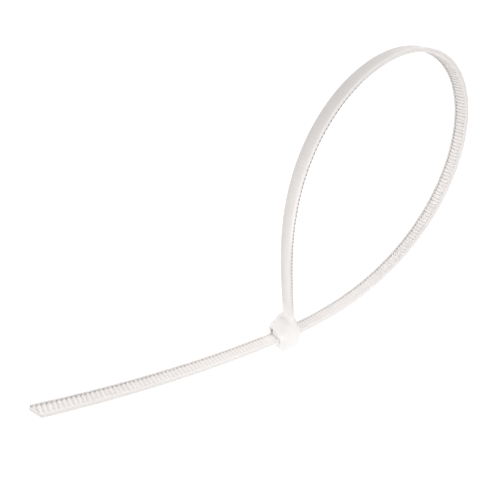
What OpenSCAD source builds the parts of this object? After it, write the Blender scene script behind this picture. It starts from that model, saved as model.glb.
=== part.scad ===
// Self-locking cable tie, drawn round into a loop with its tail through its own head.
// It lies on the side of its head. The loop lies in the X-Y plane, and Z runs across the strap's width.

/* [Strap] */
// Width of the strap
strap_w = 4.8; // [4.2:0.1:5.4]
// Thickness of the strap over its two rails
strap_t = 1.3; // [1.2:0.05:1.6]
// Width of each rail along the strap's sides
rail_w = 0.7; // [0.5:0.05:0.9]
// Thickness of the web under the teeth
web_t = 0.7; // [0.5:0.05:0.75]
// Bevel along the strap's long edges
edge_bevel = 0.3; // [0.15:0.05:0.35]
// Length of the cut strap, from the head to the cut
strap_len = 312; // [290:1:330]
// Angle of the cut at the tail's end, from square
cut_angle = 29; // [0:1:35]

/* [Teeth] */
// Distance from one tooth to the next
tooth_pitch = 1.15; // [1:0.05:1.4]
// Height of a tooth above its root
tooth_h = 0.4; // [0.3:0.02:0.42]
// Toothless stretch of the strap beside the head
plain_neck = 4.4; // [2:0.2:8]

/* [Bends] */
// Length of strap in the loop, from the head round to the slot
loop_len = 238; // [225:1:250]
// Angle at which the neck leans outwards as it leaves the head
neck_lean = 3.5; // [0:0.5:5]
// Angle of the slot from square to the neck
slot_tilt = 3.5; // [2:0.5:6]
// Angle through which the tail bends past the slot
tail_bend = 13.5; // [0:0.5:25]

/* [Head] */
// Length of the head along the slot
head_l = 7.4; // [6.8:0.1:8]
// Height of the head along the neck
head_h = 10.6; // [10.2:0.1:11.4]
// Width of the head across the strap
head_w = 7.6; // [7.2:0.1:9]
// Height of the head's side faces, below its shoulders
side_h = 6.4; // [6:0.1:6.8]
// Distance of the neck from the head's middle, towards the loop
neck_offset = 1.5; // [0.8:0.1:1.6]
// Distance of the slot's middle below the head's middle
slot_drop = 1.6; // [1.5:0.1:2]
// Radius on the head's edges round its base and its shoulders
head_round = 0.5; // [0.2:0.1:0.6]
// Radius on the head's four long edges, beside the slot
corner_round = 1.0; // [0.4:0.1:1.2]

/* [Slot and pawl] */
// Free space between the strap and the slot, on each side
slot_gap = 0.15; // [0.1:0.05:0.25]
// Depth of the pawl's chamber above the strap
chamber_h = 1.8; // [1.6:0.1:1.9]
// Thickness of the pawl at its free end
pawl_t = 1.3; // [1:0.1:1.4]
// Width of the pawl above the strap's rails
pawl_w = 3.8; // [3.2:0.1:4.4]
// Thickness of the pawl's hinge
hinge_t = 0.7; // [0.5:0.1:0.8]
// Teeth on the pawl
pawl_teeth = 3; // [2:1:3]
// Free space between the pawl and the strap's rails and teeth
pawl_gap = 0.12; // [0.08:0.02:0.2]
// Distance of the pawl's free end inside the head's face
end_gap = 0.4; // [0.1:0.1:0.8]

/* [Hidden] */

nylon = [0.94, 0.93, 0.9];
// How far joined shapes reach into each other
sink = 0.1;
// How far cutting shapes reach past a surface
past = 1;
// The neck starts this far inside the head
neck_root = 1.6;
// The head's shoulders end this far inside the neck's surfaces
tuck = 0.25;
// The slope over the pawl meets the neck this far below the head's top
slope_drop = 1;
// How far that slope and the other shoulders bulge beyond straight lines
slope_bulge = 0.3;
shoulder_bulge = 0.5;
// The channel starts this far from the head
channel_start = 1;
// Share of a tooth's pitch that its steep face takes
steep = 0.15;
// Height of the teeth's roots above the web
root_rise = 0.07;
// Widening of the slot's mouth where the strap goes in
lead_in = 0.3;
// Depth of that widening
lead_l = 0.6;
// Extra bends of the loop on top of an even curve, in degrees, from one slow wave to six quick ones
loop_waves = [-1.5, -26, -3, -1, -1, -1.5];
// Distance between the points of the bent line
line_step = 1.15;

strap_z = head_w / 2;
inner = strap_t / 2;
floor_u = web_t - inner;
channel_w = strap_w - 2 * rail_w;
tail_len = strap_len - loop_len;
neck_at = [neck_offset, head_h / 2];
slot_at = [0, -slot_drop];

// The strap's middle line: a heading for each distance s from the head, summed into points
function total(list, i = 0) = i == len(list) ? 0 : list[i] + total(list, i + 1);
function dir(a) = [cos(a), sin(a)];
function wave(u) = total([for (n = [0 : len(loop_waves) - 1]) loop_waves[n] * sin(180 * (n + 1) * u)]);
function loop_heading(u) = 90 + neck_lean - (270 + neck_lean + slot_tilt) * u - wave(u);
function tail_heading(v) = slot_heading - tail_bend * v;

loop_n = ceil(loop_len / line_step);
loop_step = loop_len / loop_n;
tail_n = ceil((tail_len + past) / line_step);
tail_step = (tail_len + past) / tail_n;

open_loop = [for (i = 0, p = neck_at; i <= loop_n; p = p + loop_step * dir(loop_heading((i + 0.5) / loop_n)),
    i = i + 1) p];
// What the loop misses the slot by is shared out evenly along it
miss = slot_at - open_loop[loop_n];
loop_line = [for (i = [0 : loop_n]) open_loop[i] + miss * i / loop_n];
function closed(a) = dir(a) + miss / loop_len;
neck_heading = atan2(closed(loop_heading(0))[1], closed(loop_heading(0))[0]);
slot_heading = atan2(closed(loop_heading(1))[1], closed(loop_heading(1))[0]) - 360;
tail_line = [for (i = 0, p = slot_at; i <= tail_n; p = p + tail_step * dir(tail_heading((i + 0.5) / tail_n)),
    i = i + 1) p];

function along(line, t) = let (k = max(0, min(len(line) - 2, floor(t))))
    line[k] + (t - k) * (line[k + 1] - line[k]);
function middle(s) =
    s < 0 ? neck_at + s * dir(neck_heading)
    : s < loop_len ? along(loop_line, s / loop_step)
    : along(tail_line, (s - loop_len) / tail_step);
function heading(s) =
    s < 0 ? neck_heading
    : s < loop_len ? let (d = closed(loop_heading(s / loop_len))) atan2(d[1], d[0])
    : tail_heading((s - loop_len) / (tail_len + past));
// A point at height u above the middle line, towards the toothed side
function at(s, u) = middle(s) + u * [sin(heading(s)), -cos(heading(s))];

// The strap before its channel is cut: a bevelled outline swept along the middle line
function strap_outline() = let (w = strap_w / 2, b = edge_bevel) [
    [-inner, -w + b], [-inner + b, -w], [inner - b, -w], [inner, -w + b],
    [inner, w - b], [inner - b, w], [-inner + b, w], [-inner, w - b]
];
stations = let (n = ceil((strap_len + past) / (2 * tooth_pitch)))
    concat([-neck_root], [for (i = [0 : n]) i * (strap_len + past) / n]);

module solid_strap() {
    outline = strap_outline();
    m = len(outline);
    rings = len(stations);
    points = [for (s = stations, q = outline) let (p = at(s, q[0])) [p[0], p[1], strap_z + q[1]]];
    sides = [for (r = [0 : rings - 2], j = [0 : m - 1]) let (k = (j + 1) % m)
        [r * m + j, r * m + k, (r + 1) * m + k, (r + 1) * m + j]];
    start = [[for (j = [m - 1 : -1 : 0]) j]];
    end = [[for (j = [0 : m - 1]) (rings - 1) * m + j]];
    polyhedron(points = points, faces = concat(start, sides, end), convexity = 12);
}

// The channel between the rails. Its floor is cut into teeth, each of which rises steeply on the
// head's side and falls away towards the tail. The neck's stretch is level with the teeth's tips.
tooth_n = ceil((strap_len + 2 * past - plain_neck) / tooth_pitch);
root_u = floor_u + root_rise;
tip_u = root_u + tooth_h;
function tooth_start(k) = plain_neck + k * tooth_pitch;

module channel() {
    open_u = inner + past / 2;
    last = tooth_start(tooth_n);
    neck_floor = [at(channel_start, open_u), at(channel_start + open_u - tip_u, tip_u)];
    ridges = [for (k = [0 : tooth_n - 1], t = [[0, root_u], [steep, tip_u]])
        at(tooth_start(k) + t[0] * tooth_pitch, t[1])];
    above = [for (i = [len(stations) - 1 : -1 : 0]) if (stations[i] > channel_start && stations[i] < last)
        at(stations[i], open_u)];
    translate([0, 0, strap_z - channel_w / 2])
        linear_extrude(channel_w)
            polygon(concat(
                neck_floor, [at(plain_neck, tip_u)], ridges, [at(last, root_u), at(last, open_u)], above));
}

module oblique_cut() {
    end = middle(strap_len);
    translate([end[0], end[1], strap_z])
        rotate([0, 0, heading(strap_len)])
            rotate([0, -cut_angle, 0])
                translate([0, -strap_t * 2, -strap_w * 2])
                    cube([strap_w * 2, strap_t * 4, strap_w * 4]);
}

module strap() {
    difference() {
        solid_strap();
        channel();
        oblique_cut();
    }
}

// A slightly bulging line from a to b, for the head's shoulders
function bulging(a, b, bulge, n = 6) = let (d = (b - a) / norm(b - a))
    [for (i = [0 : n]) a + (b - a) * i / n + bulge * sin(180 * i / n) * [-d[1], d[0]]];

module rounded(radius) {
    offset(r = radius, $fn = 24) offset(delta = -radius) children();
}

shoulder_y = side_h - head_h / 2;

// The head seen along Z: a tall slope over the pawl and a short one on the loop's side
module head_side_view() {
    top = head_h / 2;
    rounded(head_round) polygon(concat(
        [[-head_l / 2, -top]],
        bulging([-head_l / 2, shoulder_y], [neck_offset - inner + tuck, top - slope_drop], slope_bulge),
        bulging([neck_offset + inner - tuck, top], [head_l / 2, shoulder_y], shoulder_bulge),
        [[head_l / 2, -top]]
    ));
}

// The head seen along X: square below, with shoulders that run in to the strap's width
module head_front_view() {
    top = head_h / 2;
    rounded(head_round) polygon(concat(
        [[-head_w / 2, -top]],
        bulging([-head_w / 2, shoulder_y], [-strap_w / 2 + tuck, top], shoulder_bulge),
        bulging([strap_w / 2 - tuck, top], [head_w / 2, shoulder_y], shoulder_bulge),
        [[head_w / 2, -top]]
    ));
}

module head_block() {
    intersection() {
        linear_extrude(head_w) head_side_view();
        translate([-head_l, 0, head_w / 2])
            rotate([0, 90, 0])
                linear_extrude(2 * head_l) head_front_view();
        translate([0, head_h, head_w / 2])
            rotate([90, 0, 0])
                linear_extrude(2 * head_h) rounded(corner_round) square([head_l, head_w], center = true);
    }
}

// Places its children at the slot: X along the slot towards the loop, Y from the strap towards the neck
module at_slot() {
    translate([slot_at[0], slot_at[1], strap_z]) rotate([0, 0, slot_heading + 180]) children();
}

mouth = inner + slot_gap;
hinge_x = head_l / 4;

module slot_cut() {
    reach = head_l / 2 + past;
    wide = mouth + lead_in * (1 + past / lead_l);
    at_slot() {
        translate([0, 0, -strap_w / 2 - slot_gap])
            linear_extrude(strap_w + 2 * slot_gap)
                polygon([
                    [-reach, -mouth], [head_l / 2 - lead_l, -mouth], [reach, -wide],
                    [reach, wide], [head_l / 2 - lead_l, mouth], [hinge_x, mouth],
                    [hinge_x - hinge_t, mouth + chamber_h - slot_gap], [-reach, mouth + chamber_h - slot_gap]
                ]);
    }
}

// The pawl hangs from a thin hinge on the loop's side, above the strap's rails, and its nose ends
// just inside the head's face. The narrower teeth below it lie in the strap's teeth, which they
// follow at a small distance.
module pawl() {
    last = floor((loop_len + head_l / 2 - end_gap - plain_neck) / tooth_pitch);
    first = last - pawl_teeth;
    under = inner + pawl_gap;
    root_x = hinge_x + hinge_t;
    end_x = end_gap - head_l / 2;
    function local(p) = let (d = p - slot_at, a = slot_heading + 180) [d * dir(a), d * [-sin(a), cos(a)]];
    bite = [for (k = [first : last - 1], t = [[0, root_u], [steep, tip_u]])
        local(at(tooth_start(k) + t[0] * tooth_pitch, t[1] + pawl_gap))];
    start_x = bite[0][0] + pawl_gap;
    back = [[end_x, under], [end_x, under + pawl_t], [0, under + pawl_t], [root_x, mouth + hinge_t + sink]];
    at_slot() {
        translate([0, 0, -pawl_w / 2])
            linear_extrude(pawl_w)
                polygon(concat([[root_x, mouth + sink], [start_x, under]], back));
        translate([0, 0, -channel_w / 2 + pawl_gap])
            linear_extrude(channel_w - 2 * pawl_gap)
                polygon(concat([[root_x, mouth + sink], [start_x, tip_u + pawl_gap]], bite, back));
    }
}

module cable_tie() {
    color(nylon) {
        strap();
        difference() {
            head_block();
            slot_cut();
        }
        pawl();
    }
}

cable_tie();
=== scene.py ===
"""A looped cable tie in natural nylon: a toothed strap, drawn through its own head past the pawl."""
import math

import bmesh
import bpy
import numpy as np
from mathutils import Matrix, Vector
from mathutils.kdtree import KDTree


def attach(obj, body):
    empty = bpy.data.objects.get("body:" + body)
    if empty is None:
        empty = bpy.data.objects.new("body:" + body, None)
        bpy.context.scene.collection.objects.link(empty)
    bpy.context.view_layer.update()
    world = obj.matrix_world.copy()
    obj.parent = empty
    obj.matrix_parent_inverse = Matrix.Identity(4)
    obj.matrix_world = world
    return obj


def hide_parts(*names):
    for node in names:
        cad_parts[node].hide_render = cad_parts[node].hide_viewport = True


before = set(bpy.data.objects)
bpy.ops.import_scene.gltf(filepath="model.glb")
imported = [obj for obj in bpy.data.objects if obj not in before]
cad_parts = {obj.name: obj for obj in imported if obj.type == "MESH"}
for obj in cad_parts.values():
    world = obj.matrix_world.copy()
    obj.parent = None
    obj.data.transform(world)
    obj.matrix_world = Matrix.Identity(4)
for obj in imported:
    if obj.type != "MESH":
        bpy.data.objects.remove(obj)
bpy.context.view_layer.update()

MM = 0.001

# Sizes in millimetres, angles in degrees and shares of a tooth's pitch, the same as in the part
STRAP_W, STRAP_T, RAIL_W, WEB_T, EDGE_BEVEL = 4.8, 1.3, 0.7, 0.7, 0.3
STRAP_LEN, CUT_ANGLE = 312.0, 29.0
TOOTH_PITCH, ROOT_RISE, STEEP, PLAIN_NECK, CHANNEL_START = 1.15, 0.07, 0.15, 4.4, 1.0
LOOP_LEN, NECK_LEAN, SLOT_TILT, TAIL_BEND = 238.0, 3.5, 3.5, 13.5
LOOP_WAVES = (-1.5, -26.0, -3.0, -1.0, -1.0, -1.5)
HEAD_L, HEAD_H, HEAD_W, SIDE_H = 7.4, 10.6, 7.6, 6.4
NECK_OFFSET, SLOT_DROP, NECK_ROOT, TUCK, SHOULDER_BULGE = 1.5, 1.6, 1.6, 0.25, 0.5
SLOT_GAP, CHAMBER_H, LEAD_IN, LEAD_L = 0.15, 1.8, 0.3, 0.6
HINGE_T, PAWL_TEETH = 0.7, 3

# Sizes that the photo shows otherwise than the part: shallower teeth, fuller slopes, and a pawl that lies
# close to the slot's upper wall and reaches the exit. A gap below zero lets two shapes overlap.
TOOTH_H = 0.3
SLOPE_DROP, SLOPE_BULGE = 1.3, 0.6
PAWL_T, PAWL_GAP, END_GAP, UPPER_GAP = 1.72, -0.03, 0.0, -0.08
PAWL_LOW, PAWL_HIGH = 1.3, 2.5
BASE_ROUND, CORNER_ROUND, SHOULDER_ROUND = 0.9, 1.2, 3.0
FLARE, FLARE_START, FLARE_END = 0.8, -1.2, 1.3

STRAP_Z = HEAD_W / 2
INNER = STRAP_T / 2
FLOOR_U = WEB_T - INNER
ROOT_U = FLOOR_U + ROOT_RISE
TIP_U = ROOT_U + TOOTH_H
CHANNEL_W = STRAP_W - 2 * RAIL_W


# The bent line

LINE_STEP, SPARE_TAIL = 0.25, 1.0


def toward(degrees):
    return np.array([math.cos(math.radians(degrees)), math.sin(math.radians(degrees))])


def loop_heading(share):
    waves = sum(w * math.sin(math.pi * (n + 1) * share) for n, w in enumerate(LOOP_WAVES))
    return 90 + NECK_LEAN - (270 + NECK_LEAN + SLOT_TILT) * share - waves


class BentLine:
    """The strap's middle line, from the neck's root round the loop, through the slot and out to the tail."""

    def __init__(self):
        neck, self.slot = np.array([NECK_OFFSET, HEAD_H / 2]), np.array([0.0, -SLOT_DROP])
        count = round(LOOP_LEN / LINE_STEP)
        step = LOOP_LEN / count
        headings = [loop_heading((i + 0.5) / count) for i in range(count)]
        loop = neck + np.vstack([[0, 0], self.run(step, headings)])
        miss = self.slot - loop[-1]
        loop += miss * (np.arange(count + 1) / count)[:, None]
        ends = [toward(loop_heading(share)) + miss / LOOP_LEN for share in (0, 1)]
        neck_heading, slot_heading = (math.degrees(math.atan2(d[1], d[0])) for d in ends)
        tail_len = STRAP_LEN - LOOP_LEN + SPARE_TAIL
        tail_count = round(tail_len / step)
        tail_step = tail_len / tail_count
        bend = [slot_heading - TAIL_BEND * (i + 0.5) / tail_count for i in range(tail_count)]
        root = neck - NECK_ROOT * toward(neck_heading)
        self.points = np.vstack([root, loop, self.slot + self.run(tail_step, bend)])
        self.s = np.concatenate([[-NECK_ROOT], np.arange(count + 1) * step,
                                 LOOP_LEN + np.arange(1, tail_count + 1) * tail_step])
        ahead = np.gradient(self.points, self.s, axis=0)
        self.ahead = ahead / np.linalg.norm(ahead, axis=1)[:, None]
        back, up = toward(slot_heading + 180), toward(slot_heading + 270)
        self.slot_axes = np.array([back, up])

    @staticmethod
    def run(step, headings):
        """The points reached by even steps, one in each heading."""
        return np.cumsum([step * toward(heading) for heading in headings], axis=0)

    def middle(self, s):
        return np.stack([np.interp(s, self.s, self.points[:, k]) for k in (0, 1)], axis=-1)

    def along(self, s):
        """The line's direction at s."""
        d = np.stack([np.interp(s, self.s, self.ahead[:, k]) for k in (0, 1)], axis=-1)
        return d / np.linalg.norm(d, axis=-1, keepdims=True)

    def inward(self, s):
        """The direction towards the toothed side at s."""
        d = self.along(s)
        return np.stack([d[..., 1], -d[..., 0]], axis=-1)

    def in_slot(self, s, u):
        """The point at s and u, as x along the slot towards the loop and y towards the neck."""
        return tuple((self.middle(s) + u * self.inward(s) - self.slot) @ self.slot_axes.T)


line = BentLine()


# Helpers for meshes

SAME_POINT = 1e-7


def new_object(name, vertices, faces=(), edges=()):
    mesh = bpy.data.meshes.new(name)
    mesh.from_pydata([tuple(map(float, v)) for v in vertices], list(edges), list(faces))
    mesh.update()
    obj = bpy.data.objects.new(name, mesh)
    bpy.context.scene.collection.objects.link(obj)
    return obj


def discard(*objects):
    for obj in objects:
        bpy.data.objects.remove(obj, do_unlink=True)


def applied(obj, name):
    """The object's evaluated shape as a plain mesh, in a new object."""
    depsgraph = bpy.context.evaluated_depsgraph_get()
    mesh = bpy.data.meshes.new_from_object(obj.evaluated_get(depsgraph))
    mesh.name = name
    made = bpy.data.objects.new(name, mesh)
    bpy.context.scene.collection.objects.link(made)
    return made


def combined(first, second, operation, name):
    """The two solids after a Boolean operation, as one plain object."""
    modifier = first.modifiers.new(name, "BOOLEAN")
    modifier.operation, modifier.solver, modifier.object = operation, "EXACT", second
    made = applied(first, name)
    first.modifiers.remove(modifier)
    return made


def facing_out(obj):
    b = bmesh.new()
    b.from_mesh(obj.data)
    bmesh.ops.recalc_face_normals(b, faces=b.faces[:])
    if b.calc_volume(signed=True) < 0:
        bmesh.ops.reverse_faces(b, faces=b.faces[:])
    b.to_mesh(obj.data)
    b.free()
    return obj


def lofted(name, rings):
    """A closed skin through rings of the same number of points."""
    count, last = len(rings[0]), len(rings) - 1
    vertices = [p for ring in rings for p in ring]
    faces = [tuple(range(count))[::-1], tuple(range(last * count, (last + 1) * count))]
    for low in range(0, last * count, count):
        high = low + count
        for j in range(count):
            k = (j + 1) % count
            faces.append((low + j, low + k, high + k, high + j))
    return facing_out(new_object(name, vertices, faces))


# Node trees

class Tree:
    """Adds nodes to a node tree and links them."""

    def __init__(self, tree):
        self.tree = tree

    def node(self, kind, settings=None, inputs=None, out=0):
        node = self.tree.nodes.new(kind)
        for key, value in (settings or {}).items():
            setattr(node, key, value)
        for key, value in (inputs or {}).items():
            if isinstance(value, Value):
                self.tree.links.new(value.socket, node.inputs[key])
            else:
                node.inputs[key].default_value = value
        return Value(self, node.outputs[out], node) if node.outputs else None

    def math(self, operation, *values, clamp=False):
        settings = {"operation": operation, "use_clamp": clamp}
        return self.node("ShaderNodeMath", settings, dict(enumerate(values)))


class Value:
    """A node's output. Arithmetic on it adds Math nodes."""

    def __init__(self, owner, socket, node):
        self.owner, self.socket, self.from_node = owner, socket, node

    def output(self, name):
        return Value(self.owner, self.from_node.outputs[name], self.from_node)

    def __add__(self, other):
        return self.owner.math("ADD", self, other)

    def __radd__(self, other):
        return self.owner.math("ADD", other, self)

    def __sub__(self, other):
        return self.owner.math("SUBTRACT", self, other)

    def __rsub__(self, other):
        return self.owner.math("SUBTRACT", other, self)

    def __mul__(self, other):
        return self.owner.math("MULTIPLY", self, other)

    def __rmul__(self, other):
        return self.owner.math("MULTIPLY", other, self)

    def __truediv__(self, other):
        return self.owner.math("DIVIDE", self, other)

    def __rtruediv__(self, other):
        return self.owner.math("DIVIDE", other, self)

    def clamped(self):
        return self.owner.math("ADD", self, 0.0, clamp=True)

    def fraction(self):
        return self.owner.math("FRACT", self)


def run_tree(group, carrier, values, name):
    """Runs a geometry tree on the carrier with the named inputs set, and returns the plain result."""
    modifier = carrier.modifiers.new(group.name, "NODES")
    modifier.node_group = group
    sockets = {item.name: item.identifier for item in group.interface.items_tree
               if item.item_type == "SOCKET" and item.in_out == "INPUT"}
    for key, value in values.items():
        modifier[sockets[key]] = value
    made = applied(carrier, name)
    carrier.modifiers.remove(modifier)
    return made


# Camera

PHOTO_PX, LENS_PX, SENSOR = 500, 496.56, 36.0
EYE = Vector((-72.435, 101.982, 98.714)) * MM
LOOK = Vector((0.46, -0.5205, -0.71936)).normalized()
UP = Vector((0.30898, 0.85337, -0.41988)).normalized()


def place_camera():
    data = bpy.data.cameras.new("camera")
    data.sensor_width = SENSOR
    data.lens = LENS_PX * SENSOR / PHOTO_PX
    data.clip_start, data.clip_end = 0.001, 10.0
    camera = bpy.data.objects.new("camera", data)
    bpy.context.scene.collection.objects.link(camera)
    right = LOOK.cross(UP).normalized()
    turn = Matrix((right, right.cross(LOOK), -LOOK)).transposed().to_4x4()
    camera.matrix_world = Matrix.Translation(EYE) @ turn
    bpy.context.scene.camera = camera


place_camera()


# The toothed strap

# One tooth's profile: places along it as shares of the pitch, and the heights there as shares of its own
PROFILE_AT = (0.0, 0.08, 0.17, 0.5, 0.98, 1.0)
PROFILE_HEIGHT = (0.0, 0.62, 1.0, 0.66, 0.03, 0.0)
LAST_SLOPE = PROFILE_AT[-2] - 1
ROUNDING = 1e-6

# Where the stations lie by the neck, as first, last and count, and how far they run on past the tail's end
CHANNEL_STEP = 0.25
FLARE_RUN = (FLARE_START, CHANNEL_START - 0.1, 15)
PLAIN_RUN = (CHANNEL_START + 0.7, PLAIN_NECK - 0.2, 6)
RUN_ON = 0.95

# The outline's points in millimetres: its softened corners, the part of its sides where painted shade of the
# gaps shows through, and the rails' lips
CORNER_EASE = 0.1
RAIL_SHADE_START, RAIL_SHADE_FULL = -0.25, -0.05
LIP_DROP, LIP_EASE, LIP_INSET, LIP_CORNER = 0.12, 0.03, 0.06, 0.07
WALL_EASE = 0.02
LIP_DEPTH = 0.1
BACK_AT = (0.9, 0.0, -0.9)
INNER_FLARE = 0.3

# Half of the channel's floor: shares of its half width, and how much painted shade the gaps get there
FLOOR_CORNER = ((1.0, 0.6), (0.92, 1.0), (0.8, 0.2), (0.66, 0.0))

# The numbers each outline point carries; the third tells where painted shade of the gaps shows through the
# rails
MARKS = ("floor", "corner", "rail_shade", "back")
PLAIN, RAIL_SHADE, BACK = (0.0, 0.0, 0.0, 0.0), (0.0, 0.0, 1.0, 0.0), (0.0, 0.0, 0.0, 1.0)
SHADED = ("along", *MARKS, "lip", "cut")
NEAR_CUT = 1e-6


def strap_stations():
    """Distances along the strap: close ones where the neck flares, then every point of each tooth's profile.
    They run on a little past the tail's end, where the strap is cut."""
    neck = [-NECK_ROOT, *np.linspace(*FLARE_RUN)]
    neck += [CHANNEL_START, CHANNEL_START + CHANNEL_STEP, *np.linspace(*PLAIN_RUN)]
    end = STRAP_LEN + RUN_ON
    count = math.ceil((end - PLAIN_NECK) / TOOTH_PITCH)
    shares = (LAST_SLOPE, *PROFILE_AT[:-2])
    teeth = [PLAIN_NECK + (k + share) * TOOTH_PITCH for k in range(count) for share in shares]
    return np.array(neck + [s for s in teeth if s < end])


def tooth_height(s):
    """Height of the channel's floor above the teeth's roots, as a share of a tooth's height."""
    share = ((s - PLAIN_NECK) / TOOTH_PITCH + ROUNDING) % 1.0
    first = PLAIN_NECK + LAST_SLOPE * TOOTH_PITCH - ROUNDING
    return np.where(s < first, 1.0, np.interp(share, PROFILE_AT, PROFILE_HEIGHT))


def channel_depth(s):
    """1 where the channel is open and 0 by the head, where the strap is full."""
    return np.interp(s, (CHANNEL_START, CHANNEL_START + CHANNEL_STEP), (0.0, 1.0))


def neck_flare(s):
    """How far the neck swells out into the head's shoulders, from 0 to 1."""
    return np.clip((FLARE_END - s) / (FLARE_END - FLARE_START), 0.0, 1.0) ** 3


def softened(run):
    """The corners between the first and the last point of a run, each cut across a little."""
    out = []
    for before, corner, after in zip(run, run[1:], run[2:]):
        for end in (before, after):
            arm = np.subtract(end, corner)
            out.append(tuple(corner + CORNER_EASE * arm / np.linalg.norm(arm)))
    return out


def strap_outline():
    """The strap's outline as (u, w) points, u towards the teeth, with four marks for each point: how far it
    belongs to the floor, the floor's corners that get painted shade, the part of the sides where painted
    shade of the gaps shows through, and the smooth back."""
    w, c, b = STRAP_W / 2, CHANNEL_W / 2, EDGE_BEVEL
    edge = softened([(-INNER, 0), (-INNER, -w + b), (-INNER + b, -w), (0, -w)])
    side = softened([(0, -w), (INNER - b, -w), (INNER, -w + b)])
    lip = [(INNER - LIP_EASE, -w + b - LIP_EASE), (INNER, -w + b + LIP_INSET), (INNER, -c - LIP_CORNER),
           (INNER - WALL_EASE, -c - WALL_EASE), (INNER - LIP_CORNER, -c)]
    low = [(p, PLAIN) for p in [*edge, (RAIL_SHADE_START, -w)]]
    low += [(p, RAIL_SHADE) for p in [(RAIL_SHADE_FULL, -w), *side, (INNER - LIP_DROP, -w + b - LIP_DROP)]]
    low += [(p, PLAIN) for p in lip]
    near = [((ROOT_U, -c * share), (1.0, corner, 0.0, 0.0)) for share, corner in FLOOR_CORNER]
    half = low + near
    other_half = [((u, -v), marks) for (u, v), marks in reversed(half)]
    outer = [((-INNER, v * (w - b)), BACK) for v in BACK_AT]
    points, marks = zip(*half, *other_half, *outer)
    return np.array(points), np.array(marks)


def strap_tree():
    """Sweeps the outline along the bent line, lifts the channel's floor into teeth and flares the neck."""
    group = bpy.data.node_groups.new("Toothed strap", "GeometryNodeTree")
    inputs = {"Bent line": "Geometry", "Outline": "Object", "Tooth height": "Float",
              "Floor above roots": "Float", "Flare": "Float", "Middle height": "Float",
              "Half width": "Float", "Nylon": "Material"}
    for name, kind in inputs.items():
        group.interface.new_socket(name, in_out="INPUT", socket_type="NodeSocket" + kind)
    group.interface.new_socket("Strap", in_out="OUTPUT", socket_type="NodeSocketGeometry")
    t = Tree(group)
    given = t.node("NodeGroupInput")
    path = t.node("GeometryNodeMeshToCurve", inputs={"Mesh": given.output("Bent line")})
    path = t.node("GeometryNodeSetCurveNormal", {"mode": "Z_UP"}, {"Curve": path})
    shape = t.node("GeometryNodeObjectInfo", inputs={"Object": given.output("Outline")}).output("Geometry")
    shape = t.node("GeometryNodeMeshToCurve", inputs={"Mesh": shape})
    swept = t.node("GeometryNodeCurveToMesh", inputs={
        "Curve": path, "Profile Curve": shape, "Fill Caps": True})

    def attribute(name, kind="FLOAT"):
        return t.node("GeometryNodeInputNamedAttribute", {"data_type": kind}, {"Name": name})

    tooth = attribute("tooth") * given.output("Tooth height")
    full = given.output("Floor above roots") * (1 - attribute("open"))
    swell = attribute("flare") * given.output("Flare")
    rise = attribute("floor") * (tooth * attribute("open") + full) + attribute("outward") * swell
    inward = attribute("inward", "FLOAT_VECTOR")
    lift = t.node("ShaderNodeVectorMath", {"operation": "SCALE"}, {0: inward, "Scale": rise})
    position = t.node("GeometryNodeInputPosition")
    height = t.node("ShaderNodeSeparateXYZ", inputs={"Vector": position}).output("Z")
    aside = (height - given.output("Middle height")) / given.output("Half width") * swell
    aside = t.node("ShaderNodeCombineXYZ", inputs={"Z": aside})
    offset = t.node("ShaderNodeVectorMath", {"operation": "ADD"}, {0: lift, 1: aside})
    lifted = t.node("GeometryNodeSetPosition", inputs={"Geometry": swept, "Offset": offset})
    solid = t.node("GeometryNodeRealizeInstances", inputs={"Geometry": lifted})
    done = t.node("GeometryNodeSetMaterial", inputs={"Geometry": solid, "Material": given.output("Nylon")})
    t.node("NodeGroupOutput", inputs={"Strap": done})
    return group


def line_object(name, points, closed=False, **attributes):
    """A run of edges through the points, with one number or vector at each point for every attribute."""
    count = len(points)
    edges = [(i, (i + 1) % count) for i in range(count if closed else count - 1)]
    obj = new_object(name, points, edges=edges)
    for key, values in attributes.items():
        values = np.asarray(values, float)
        kind, slot = ("FLOAT_VECTOR", "vector") if values.ndim == 2 else ("FLOAT", "value")
        obj.data.attributes.new(key, kind, "POINT").data.foreach_set(slot, values.ravel())
    return obj


def cut_tail(strap):
    """Cuts the tail off at its slant, closes it there and marks the points of the cut."""
    end, ahead = line.middle(STRAP_LEN), line.along(STRAP_LEN)
    tilt = math.radians(CUT_ANGLE)
    point = Vector((*end, STRAP_Z)) * MM
    normal = Vector((*(ahead * math.cos(tilt)), math.sin(tilt)))
    b = bmesh.new()
    b.from_mesh(strap.data)
    whole = b.verts[:] + b.edges[:] + b.faces[:]
    cut = bmesh.ops.bisect_plane(
        b, geom=whole, dist=SAME_POINT, plane_co=point, plane_no=normal, clear_outer=True)
    rim = [edge for edge in cut["geom_cut"] if isinstance(edge, bmesh.types.BMEdge)]
    bmesh.ops.edgenet_fill(b, edges=rim)
    bmesh.ops.recalc_face_normals(b, faces=b.faces[:])
    b.to_mesh(strap.data)
    b.free()
    on_cut = [abs((vertex.co - point).dot(normal)) < NEAR_CUT for vertex in strap.data.vertices]
    strap.data.attributes.new("cut", "FLOAT", "POINT").data.foreach_set("value", np.array(on_cut, float))


def make_strap(nylon):
    stations = strap_stations()
    middle, inward = line.middle(stations), line.inward(stations)
    path = line_object(
        "bent line", np.column_stack([middle, np.full(len(middle), STRAP_Z)]) * MM,
        inward=np.column_stack([inward, np.zeros(len(inward))]), tooth=tooth_height(stations),
        open=channel_depth(stations), along=stations, flare=neck_flare(stations))
    points, marks = strap_outline()
    u = points[:, 0]
    outline = line_object(
        "outline", np.column_stack([points * MM, np.zeros(len(points))]), closed=True,
        outward=np.clip(u / INNER, -1.0, INNER_FLARE), lip=u > INNER - LIP_DEPTH,
        **dict(zip(MARKS, marks.T)))
    strap = run_tree(strap_tree(), path, {
        "Outline": outline, "Tooth height": TOOTH_H * MM, "Floor above roots": (INNER - ROOT_U) * MM,
        "Flare": FLARE * MM, "Middle height": STRAP_Z * MM, "Half width": STRAP_W / 2 * MM,
        "Nylon": nylon}, "toothed_strap")
    discard(path, outline)
    cut_tail(strap)
    return strap


# The head and its pawl, made in millimetres

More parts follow.
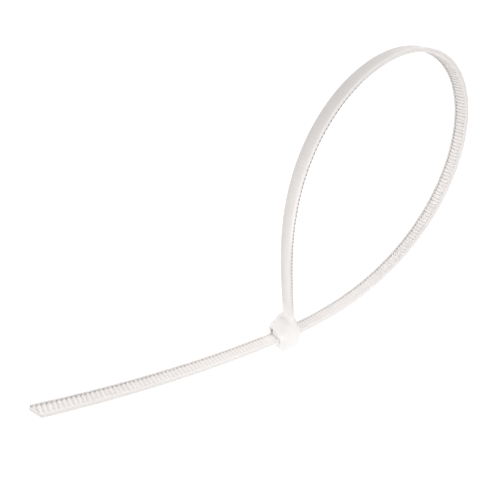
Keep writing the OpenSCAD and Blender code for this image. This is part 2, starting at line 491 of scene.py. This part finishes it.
SHOULDER_Y = SIDE_H - HEAD_H / 2
MOUTH = INNER + SLOT_GAP
HINGE_X = HEAD_L / 4
HINGE_DROP = 0.1
HEAD_VOXEL, SKIN_ROUNDS = 0.105, 4
NEARLY = 0.98

# Heights of the head's sections, as first, last and count, and the stretch where its corners get rounder
FOOT_RUN = (-HEAD_H / 2, -HEAD_H / 2 + BASE_ROUND, 10)
SIDE_RUN = (-HEAD_H / 2 + 1.3, SHOULDER_Y - 0.4, 6)
SLOPE_RUN = (SHOULDER_Y - 0.2, HEAD_H / 2 - 0.1, 30)
ROUNDER_Y = (SHOULDER_Y - 0.6, SHOULDER_Y + 1.2)


def bulging(a, b, bulge, count=24):
    """A slightly bulging line from a to b."""
    a, b = np.array(a, float), np.array(b, float)
    d = (b - a) / np.linalg.norm(b - a)
    share = np.arange(count + 1) / count
    return a + (b - a) * share[:, None] + bulge * np.sin(math.pi * share)[:, None] * np.array([-d[1], d[0]])


def head_sections():
    """For each height: the head's reach to the tail's side and to the loop's side, half its width, and the
    radius of its corners."""
    top, neck_low, neck_high = HEAD_H / 2, NECK_OFFSET - INNER + TUCK, NECK_OFFSET + INNER - TUCK
    tail_side = bulging((-HEAD_L / 2, SHOULDER_Y), (neck_low, top - SLOPE_DROP), SLOPE_BULGE)
    tail_side = np.vstack([tail_side, [neck_high, top]])
    loop_side = bulging((HEAD_L / 2, SHOULDER_Y), (neck_high, top), -SHOULDER_BULGE)
    front = bulging((HEAD_W / 2, SHOULDER_Y), (STRAP_W / 2 - TUCK, top), -SHOULDER_BULGE)
    for y in np.concatenate([np.linspace(*run) for run in (FOOT_RUN, SIDE_RUN, SLOPE_RUN)]):
        low, high, half = (np.interp(y, edge[:, 1], edge[:, 0]) for edge in (tail_side, loop_side, front))
        round_in = max(0.0, BASE_ROUND - (y + top))
        inset = BASE_ROUND - math.sqrt(BASE_ROUND ** 2 - round_in ** 2)
        radius = np.interp(y, ROUNDER_Y, (CORNER_ROUND, SHOULDER_ROUND))
        yield y, low + inset, high - inset, half - inset, radius


def rounded_ring(x0, x1, half, radius, steps=6):
    """A rounded rectangle in x and z about the strap's middle, as points that go once round."""
    radius = min(radius, NEARLY * (x1 - x0) / 2, NEARLY * half)
    right, left, near = x1 - radius, x0 + radius, half - radius
    ring = []
    for k, (x, z) in enumerate(((right, near), (left, near), (left, -near), (right, -near))):
        for i in range(steps + 1):
            a = math.radians(90 * (k + i / steps))
            ring.append((x + radius * math.cos(a), z + radius * math.sin(a)))
    return ring


def slot_prism(name, outline, below, above):
    """A prism over an outline drawn at the slot, reaching so far below and above the strap's middle."""
    flat = np.array(outline) @ line.slot_axes + line.slot
    return lofted(name, [[(x, y, STRAP_Z + z) for x, y in flat] for z in (-below, above)])


def slot_opening():
    """The slot with its lead-in on the loop's side, and above it the pawl's chamber."""
    reach, lead_x = HEAD_L / 2 + 1, HEAD_L / 2 - LEAD_L
    wide = MOUTH + LEAD_IN * (1 + 1 / LEAD_L)
    roof = MOUTH + CHAMBER_H - SLOT_GAP
    outline = [(-reach, -MOUTH), (lead_x, -MOUTH), (reach, -wide), (reach, wide), (lead_x, MOUTH),
               (HINGE_X, MOUTH), (HINGE_X - HINGE_T, roof), (-reach, roof)]
    return slot_prism("slot", outline, STRAP_W / 2 + SLOT_GAP, STRAP_W / 2 + UPPER_GAP)


def pawl_prisms():
    """The pawl hangs from its hinge on the loop's side, close to the slot's upper wall. The teeth below it
    are narrower and lie in the strap's."""
    last = math.floor((LOOP_LEN + HEAD_L / 2 - END_GAP - PLAIN_NECK) / TOOTH_PITCH)
    roots = [PLAIN_NECK + k * TOOTH_PITCH for k in range(last - PAWL_TEETH, last + 1)]
    under, tips, over = INNER + PAWL_GAP, TIP_U + PAWL_GAP, INNER + PAWL_GAP + PAWL_T
    bite = []
    for s in roots:
        bite.append(line.in_slot(s, ROOT_U + PAWL_GAP))
        bite.append(line.in_slot(s + STEEP * TOOTH_PITCH, tips))
    root_x, end_x, start_x = HINGE_X + HINGE_T, END_GAP - HEAD_L / 2, bite[0][0] + PAWL_GAP
    hinge = (root_x, MOUTH + HINGE_DROP)
    back = [(end_x, over), (0, over), (root_x, MOUTH + HINGE_T + HINGE_DROP)]
    body = [hinge, (start_x, under), (end_x, under), *back]
    teeth = [hinge, (start_x, tips), *bite, (end_x, tips), *back]
    return [slot_prism("pawl", body, PAWL_LOW, PAWL_HIGH),
            slot_prism("pawl_teeth", teeth, PAWL_LOW, CHANNEL_W / 2 - PAWL_GAP)]


def make_head(nylon):
    """The head with its slot and pawl under one skin, whose edges are eased."""
    rings = [[(x, y, STRAP_Z + z) for x, z in rounded_ring(x0, x1, half, radius)]
             for y, x0, x1, half, radius in head_sections()]
    block, opening = lofted("head", rings), slot_opening()
    hollow = combined(block, opening, "DIFFERENCE", "hollow_head")
    discard(block, opening)
    moulded = [hollow, *pawl_prisms()]
    with bpy.context.temp_override(active_object=hollow, selected_editable_objects=moulded):
        bpy.ops.object.join()
    skin = hollow.modifiers.new("moulded skin", "REMESH")
    skin.mode, skin.voxel_size = "VOXEL", HEAD_VOXEL
    ease = hollow.modifiers.new("eased edges", "SMOOTH")
    ease.factor, ease.iterations = 0.5, SKIN_ROUNDS
    made = applied(hollow, "head_and_pawl")
    discard(hollow)
    made.data.transform(Matrix.Scale(MM, 4))
    made.data.materials.clear()
    made.data.materials.append(nylon)
    return facing_out(made)


# The whole tie

FOLD_Y, FOLD_REACH, FOLD_ROUNDS = 4.4, 1.5, 30
SHARP_EDGE = 35


def restore_marks(tie, strap):
    """Gives the strap's points back their numbers, which a union mixes up, and the head's points none."""
    points = strap.data.vertices
    lookup = KDTree(len(points))
    for point in points:
        lookup.insert(point.co, point.index)
    lookup.balance()
    found = [lookup.find(point.co)[1:] for point in tie.data.vertices]
    nearest, distance = np.array(found).T
    for name in SHADED:
        own = np.empty(len(points), np.float32)
        strap.data.attributes[name].data.foreach_get("value", own)
        values = np.where(distance < SAME_POINT, own[nearest.astype(int)], np.float32(0))
        tie.data.attributes[name].data.foreach_set("value", values)


def ease_neck(tie):
    """Softens the fold where the neck runs out into the head, and returns the eased tie."""
    fold = tie.vertex_groups.new(name="neck fold")
    for point in tie.data.vertices:
        x, y, _ = point.co / MM
        share = 1 - abs(y - FOLD_Y) / FOLD_REACH
        if share > 0 and abs(x - NECK_OFFSET) < HEAD_L / 2:
            fold.add([point.index], share, "REPLACE")
    ease = tie.modifiers.new("eased fold", "SMOOTH")
    ease.factor, ease.iterations, ease.vertex_group = 0.5, FOLD_ROUNDS, fold.name
    eased = applied(tie, "moulded_tie")
    discard(tie)
    return eased


def make_tie(nylon):
    """The strap and the head as one moulding."""
    strap, head = make_strap(nylon), make_head(nylon)
    joined = combined(strap, head, "UNION", "joined_tie")
    restore_marks(joined, strap)
    discard(strap, head)
    tie = ease_neck(joined)
    tie.data.shade_smooth()
    tie.data.set_sharp_from_angle(angle=math.radians(SHARP_EDGE))
    return tie


# Natural nylon: each tone is a colour and how much of it shows at most. Besides the clouds and the darker
# cut, the tones are painted shade and painted light.

NYLON = (0.77, 0.752, 0.74, 1.0)
CLOUDS = (0.72, 0.70, 0.686, 1.0), 0.5
THIN_PAINTED_SHADE = (0.645, 0.622, 0.614, 1.0), 0.85
OUTER_FACE_SHADE = (0.53, 0.508, 0.492, 1.0), 1.0
LOOP_TOP_SHADE = (0.42, 0.405, 0.395, 1.0), 1.0
FAR_SIDE_SHADE = (0.42, 0.405, 0.395, 1.0), 0.14
LIP_SHADE = (0.52, 0.505, 0.498, 1.0), 1.0
LIT_GAPS = NYLON, 0.35
GAP_SHADE = (0.17, 0.14, 0.13, 1.0), 1.0
EXIT_LIGHT = (0.93, 0.92, 0.91, 1.0), 0.3
PAWL_LIGHT = (0.93, 0.92, 0.91, 1.0), 0.6
CUT_FACE = (0.5, 0.485, 0.475, 1.0), 0.9
HEAD_SHADE = (0.62, 0.605, 0.595, 1.0), 0.8
NECK_SHADE = (0.62, 0.605, 0.595, 1.0), 0.25

# Stretches along the strap, in millimetres from the neck
NECK_STARTS, BACK_STARTS, EDGE_STARTS = (-0.5, 2.5), (-0.5, 6), (0, 3)
HEAD_ENDS, NECK_ENDS = (1, 4), (6, 14)
TEETH_START = (PLAIN_NECK - 0.1, PLAIN_NECK + 0.1)
RAIL_SHADE_GROWS, RAIL_SHADE_FADES, EDGE_SHADE_FADES = (5, 45), (60, 88), (19, 33)
SIDE_STARTS, FAR_STARTS, LOOP_ENDS = (90, 130), (95, 115), (200, 228)
EXIT_STARTS, EXIT_ENDS = (237, 240.5), (243.5, 247)

# Where a gap opens and closes, as shares of the pitch
GAP_OPENS, GAP_CLOSES = (0.38, 0.62), (0.9, 0.98)
SOFT_GAP_OPENS, SOFT_GAP_CLOSES = (0.25, 0.6), (0.86, 1.0)

# How much painted shade a gap gets in the corners, on the back, on the tail's floor and through the rails
IN_CORNERS, IN_TAIL_CORNERS, ON_BACK, ON_TAIL_FLOOR, THROUGH_RAILS = 0.36, 0.31, 0.03, 0.07, 0.62
# Painted shade on the rails where the gaps show through, on the plain edges and on the sides
RAIL_DARK, EDGE_SHADE, SIDE_SHADE_BY_HEAD, SIDE_DARK, TAIL_SIDE_DARK = 0.15, 0.24, 0.06, 0.06, 0.08

# How strong the clouds, the other painted shades, the roughness, sheen and grain are, and how far some of
# them fade towards the end that is named
CLOUD_FROM, CLOUD_GAIN = 0.35, 2.2
THIN_SHADE_BY_HEAD, RAIL_SHADE_BY_HEAD, TAIL_FADE, UPPER_BACK_FADE, UPPER_LIP_FADE = 0.3, 0.75, 0.25, 0.7, 0.55
TOP_DARK, TOP_BACK_DARK, TAIL_FACE_SHADE, FOOT_SHADE = 0.3, 0.3, 0.7, 0.6
ROUGHNESS, SHEEN, GRAIN_STRENGTH, GRAIN_DEPTH = 0.34, 0.16, 0.12, 0.04

# Stretches in millimetres away from the head's middle, across, up, and along the slot
NEAR_HEAD = (4, 60)
TOP_Y, FAR_Y, SLOPES_Y, UNDER_SLOPES_Y, FOOT_Y = (45, 80), (30, 55), (-1, 2.5), (-1, 1), (-5.3, -3.8)
PAWL_Y, PAWL_TOP_Y, PAWL_Z, PAWL_X, TAIL_FACE_X = (-1.4, -1), (0.2, 1), (6, 6.6), (-3, -1), (-3.6, -1.6)
BACK_Z, LIP_Z, EXIT_Z = (1.4, 6.6), (3, 4.6), (4.4, 5.8)

CLOUD_SCALE, SHEEN_SCALE, GRAIN_SCALE = 160.0, 420.0, 2600.0


class NylonTree(Tree):
    """The nylon's nodes, with the place on the tie in millimetres and the numbers that its points carry."""

    def __init__(self, tree):
        super().__init__(tree)
        self.place = self.node("ShaderNodeTexCoord").output("Object")
        where = self.node("ShaderNodeSeparateXYZ", inputs={"Vector": self.place})
        self.x, self.y, self.z = (where.output(axis) / MM for axis in ("X", "Y", "Z"))
        self.away = self.node("ShaderNodeVectorMath", {"operation": "LENGTH"}, {0: self.place}, out=1) / MM
        self.along, self.floor, self.corner, self.side, self.back, self.lip, self.cut = (
            self.node("ShaderNodeAttribute", {"attribute_name": name}).output("Fac") for name in SHADED)
        self.tail = self.rise(self.along, LOOP_ENDS)

    def noise(self, scale, detail=2.0, rough=0.5):
        return self.node("ShaderNodeTexNoise", inputs={
            "Vector": self.place, "Scale": scale, "Detail": detail, "Roughness": rough})

    def rise(self, value, stretch):
        """Climbs smoothly from 0 at the stretch's start to 1 at its end."""
        return self.node("ShaderNodeMapRange", {"interpolation_type": "SMOOTHSTEP"},
                         {"Value": value, "From Min": stretch[0], "From Max": stretch[1]})

    def fall(self, value, stretch):
        return 1 - self.rise(value, stretch)

    def toned(self, colour, share, tone):
        """The colour, turned towards the tone's own one where the share is above 0."""
        own, amount = tone
        inputs = {0: share * amount, 6: colour, 7: own}
        return self.node("ShaderNodeMix", {"data_type": "RGBA"}, inputs, out=2)


def clouded_and_shaded_nylon(t):
    """Milky nylon with faint clouds, and painted shade that makes it a little darker where it is thin, on
    its outer face, at the loop's top, on the rails' lips and along the loop's far stretch."""
    colour = t.toned(NYLON, ((t.noise(CLOUD_SCALE) - CLOUD_FROM) * CLOUD_GAIN).clamped(), CLOUDS)
    # Painted shade that darkens the thin strap, less of it near the head and on the tail
    by_distance = THIN_SHADE_BY_HEAD + t.rise(t.away, NEAR_HEAD) * (1 - THIN_SHADE_BY_HEAD)
    thin_shade = t.rise(t.along, NECK_STARTS) * by_distance * (1 - t.tail * TAIL_FADE)
    colour = t.toned(colour, thin_shade, THIN_PAINTED_SHADE)
    # Painted shade on the outer face, weaker towards its upper edge
    outer = t.back * (1 - t.rise(t.z, BACK_Z) * UPPER_BACK_FADE) * t.rise(t.along, BACK_STARTS)
    colour = t.toned(colour, outer, OUTER_FACE_SHADE)
    # Painted shade at the loop's top, stronger on the outer face
    colour = t.toned(colour, t.rise(t.y, TOP_Y) * (TOP_DARK + t.back * TOP_BACK_DARK), LOOP_TOP_SHADE)
    # Painted shade on the rails' lips, weaker on the upper lip
    colour = t.toned(colour, t.lip * thin_shade * (1 - t.rise(t.z, LIP_Z) * UPPER_LIP_FADE), LIP_SHADE)
    # Painted shade on the loop's far stretch, away from the head and before the tail
    return t.toned(colour, t.rise(t.along, FAR_STARTS) * (1 - t.tail) * t.rise(t.y, FAR_Y), FAR_SIDE_SHADE)


def gaps_between_teeth(t, colour):
    """Painted shade in the gaps between the teeth, darkest along the rails, and painted shade of the gaps
    showing through the near rail and the back; painted light lifts the gaps on the loop's floor. The rails'
    edges get painted shade by the head and along the far side."""
    share = ((t.along - PLAIN_NECK) / TOOTH_PITCH).fraction()
    toothed = t.rise(t.along, TEETH_START)
    gap = t.rise(share, GAP_OPENS) * t.fall(share, GAP_CLOSES) * toothed
    soft_gap = t.rise(share, SOFT_GAP_OPENS) * t.fall(share, SOFT_GAP_CLOSES) * toothed
    # Painted light that lifts the gaps on the channel's floor before the tail
    colour = t.toned(colour, gap * t.floor * (1 - t.tail), LIT_GAPS)
    # Painted shade in the gaps: in the floor's corners, seen through the back and on the tail's floor
    corners = t.corner * (IN_CORNERS + t.tail * (IN_TAIL_CORNERS - IN_CORNERS))
    seen = corners + t.back * ON_BACK + t.floor * t.tail * ON_TAIL_FLOOR
    # Painted shade of the gaps seen through the near rail, fading out between 60 and 88 mm along
    growing = RAIL_SHADE_BY_HEAD + t.rise(t.along, RAIL_SHADE_GROWS) * (1 - RAIL_SHADE_BY_HEAD)
    rail = t.side * t.fall(t.along, RAIL_SHADE_FADES) * growing
    # Painted shade that takes the highlight off the plain edges and sides by the head, and darkens the sides
    # further along and on the tail
    plain_side = 1 - (t.back + t.side + t.floor + t.lip).clamped()
    edge_shade = (plain_side * EDGE_SHADE + t.side * SIDE_SHADE_BY_HEAD) * t.fall(t.along, EDGE_SHADE_FADES)
    edge_shade = edge_shade + t.side * (t.rise(t.along, SIDE_STARTS) * SIDE_DARK + t.tail * TAIL_SIDE_DARK)
    dark = gap * seen + soft_gap * rail * THROUGH_RAILS + rail * RAIL_DARK
    dark = dark + edge_shade * t.rise(t.along, EDGE_STARTS)
    return t.toned(colour, dark.clamped(), GAP_SHADE)


def head_and_ends(t, colour):
    """Painted light at the slot's exit and on the pawl's end, the darker cut at the tail, and
    the painted shade of the head's foot, its tail side, its slopes and the neck."""
    # Painted light where the strap leaves the slot
    at_exit = t.rise(t.along, EXIT_STARTS) * t.fall(t.along, EXIT_ENDS) * t.fall(t.z, EXIT_Z)
    colour = t.toned(colour, at_exit, EXIT_LIGHT)
    colour = t.toned(colour, t.cut, CUT_FACE)
    # Painted shade on the head's foot and tail side, then on the neck and slopes
    on_head = t.fall(t.along, HEAD_ENDS)
    tail_side = t.fall(t.x, TAIL_FACE_X) * t.fall(t.y, UNDER_SLOPES_Y)
    shade = (tail_side * TAIL_FACE_SHADE + t.fall(t.y, FOOT_Y) * FOOT_SHADE).clamped()
    colour = t.toned(colour, shade * on_head, HEAD_SHADE)
    colour = t.toned(colour, t.fall(t.along, NECK_ENDS) * t.rise(t.y, SLOPES_Y), NECK_SHADE)
    # Painted light on the pawl's end
    pawl_end = t.fall(t.x, PAWL_X) * t.fall(t.z, PAWL_Z) * t.rise(t.y, PAWL_Y) * t.fall(t.y, PAWL_TOP_Y)
    return t.toned(colour, pawl_end * on_head, PAWL_LIGHT)


def natural_nylon():
    """Slightly waxy nylon that light goes into, with a fine moulded grain."""
    material = bpy.data.materials.new("natural nylon")
    material.use_nodes = True
    material.node_tree.nodes.clear()
    t = NylonTree(material.node_tree)
    colour = head_and_ends(t, gaps_between_teeth(t, clouded_and_shaded_nylon(t)))
    roughness = ROUGHNESS + (t.noise(SHEEN_SCALE) - 0.5) * SHEEN
    grain = t.noise(GRAIN_SCALE, 3.0, 0.6)
    bump = t.node("ShaderNodeBump", inputs={
        "Height": grain, "Strength": GRAIN_STRENGTH, "Distance": GRAIN_DEPTH * MM})
    skin = t.node("ShaderNodeBsdfPrincipled", inputs={
        "Base Color": colour, "Roughness": roughness, "Normal": bump, "IOR": 1.53,
        "Subsurface Weight": 1.0, "Subsurface Radius": (1.0, 0.96, 0.92), "Subsurface Scale": 1.0 * MM})
    t.node("ShaderNodeOutputMaterial", inputs={"Surface": skin})
    return material


# Floor and light

FLOOR_HALF = 3.0
AIM = Vector((0, 0.03, 0))
WORLD_LIGHT = 1.1
LIGHTS = (  # name, place, size, power
    ("top", (0.1, 0.3, 0.9), 0.8, 1.2),
    ("front", (-0.45, 0.55, 0.55), 0.5, 0.1),
    ("highlight", (-0.65, -0.45, 0.42), 0.22, 1.2),
)


def pale_floor():
    h = FLOOR_HALF
    floor = new_object("floor", [(-h, -h, 0), (h, -h, 0), (h, h, 0), (-h, h, 0)], [(0, 1, 2, 3)])
    material = bpy.data.materials.new("pale floor")
    material.use_nodes = True
    paint = material.node_tree.nodes["Principled BSDF"].inputs
    paint["Base Color"].default_value = (0.95, 0.95, 0.95, 1)
    paint["Roughness"].default_value = 0.9
    paint["Specular IOR Level"].default_value = 0.1
    paint["Emission Color"].default_value = (1.0, 1.0, 1.0, 1)
    paint["Emission Strength"].default_value = 0.25
    floor.data.materials.append(material)


def soft_light():
    for name, place, size, power in LIGHTS:
        light = bpy.data.lights.new(name, "AREA")
        light.size, light.energy = size, power
        lamp = bpy.data.objects.new(name, light)
        bpy.context.scene.collection.objects.link(lamp)
        lamp.location = place
        lamp.rotation_euler = (AIM - Vector(place)).to_track_quat("-Z", "Y").to_euler()
    world = bpy.data.worlds.new("studio")
    bpy.context.scene.world = world
    world.use_nodes = True
    world.node_tree.nodes["Background"].inputs["Color"].default_value = (1.0, 1.0, 1.0, 1)
    world.node_tree.nodes["Background"].inputs["Strength"].default_value = WORLD_LIGHT
    bpy.context.scene.view_settings.view_transform = "Standard"


# The finished tie

tie = make_tie(natural_nylon())
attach(tie, "root")
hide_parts("cable_tie")
pale_floor()
soft_light()
